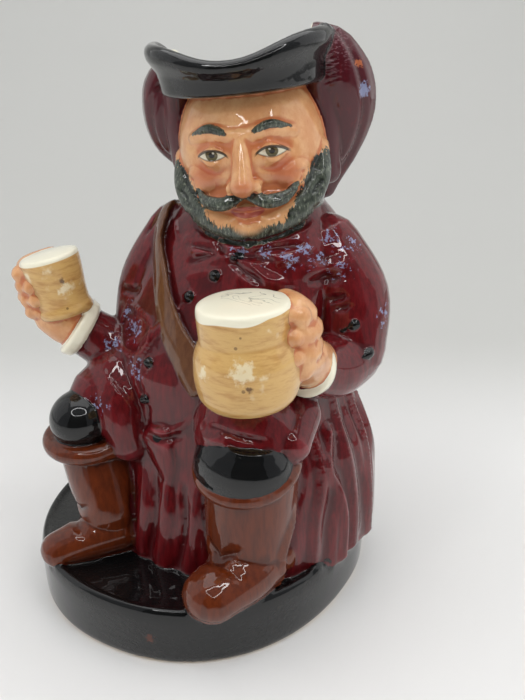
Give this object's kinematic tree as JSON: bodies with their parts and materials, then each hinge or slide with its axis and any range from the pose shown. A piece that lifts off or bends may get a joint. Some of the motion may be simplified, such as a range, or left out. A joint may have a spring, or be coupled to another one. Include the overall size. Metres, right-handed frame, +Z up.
{
  "type": "toby jug",
  "caption": "Glazed earthenware toby jug: a seated, bearded drinker in plumed hat and long coat, holding a jug and a cup, hollow through the hat, with a handle at the back.",
  "frame": {"origin": "on the surface the jug stands on, under the middle of its overall box", "axes": "+Z up through the hat; the figure faces -Y; its left hand, with the jug, is at +X"},
  "size_m": [0.1368, 0.1562, 0.2154],
  "materials": {
    "glazed_earthenware": "painted under a thick clear gloss glaze"
  },
  "bodies": {
    "root": {"toby_jug": "glazed_earthenware"}
  },
  "joints": []
}
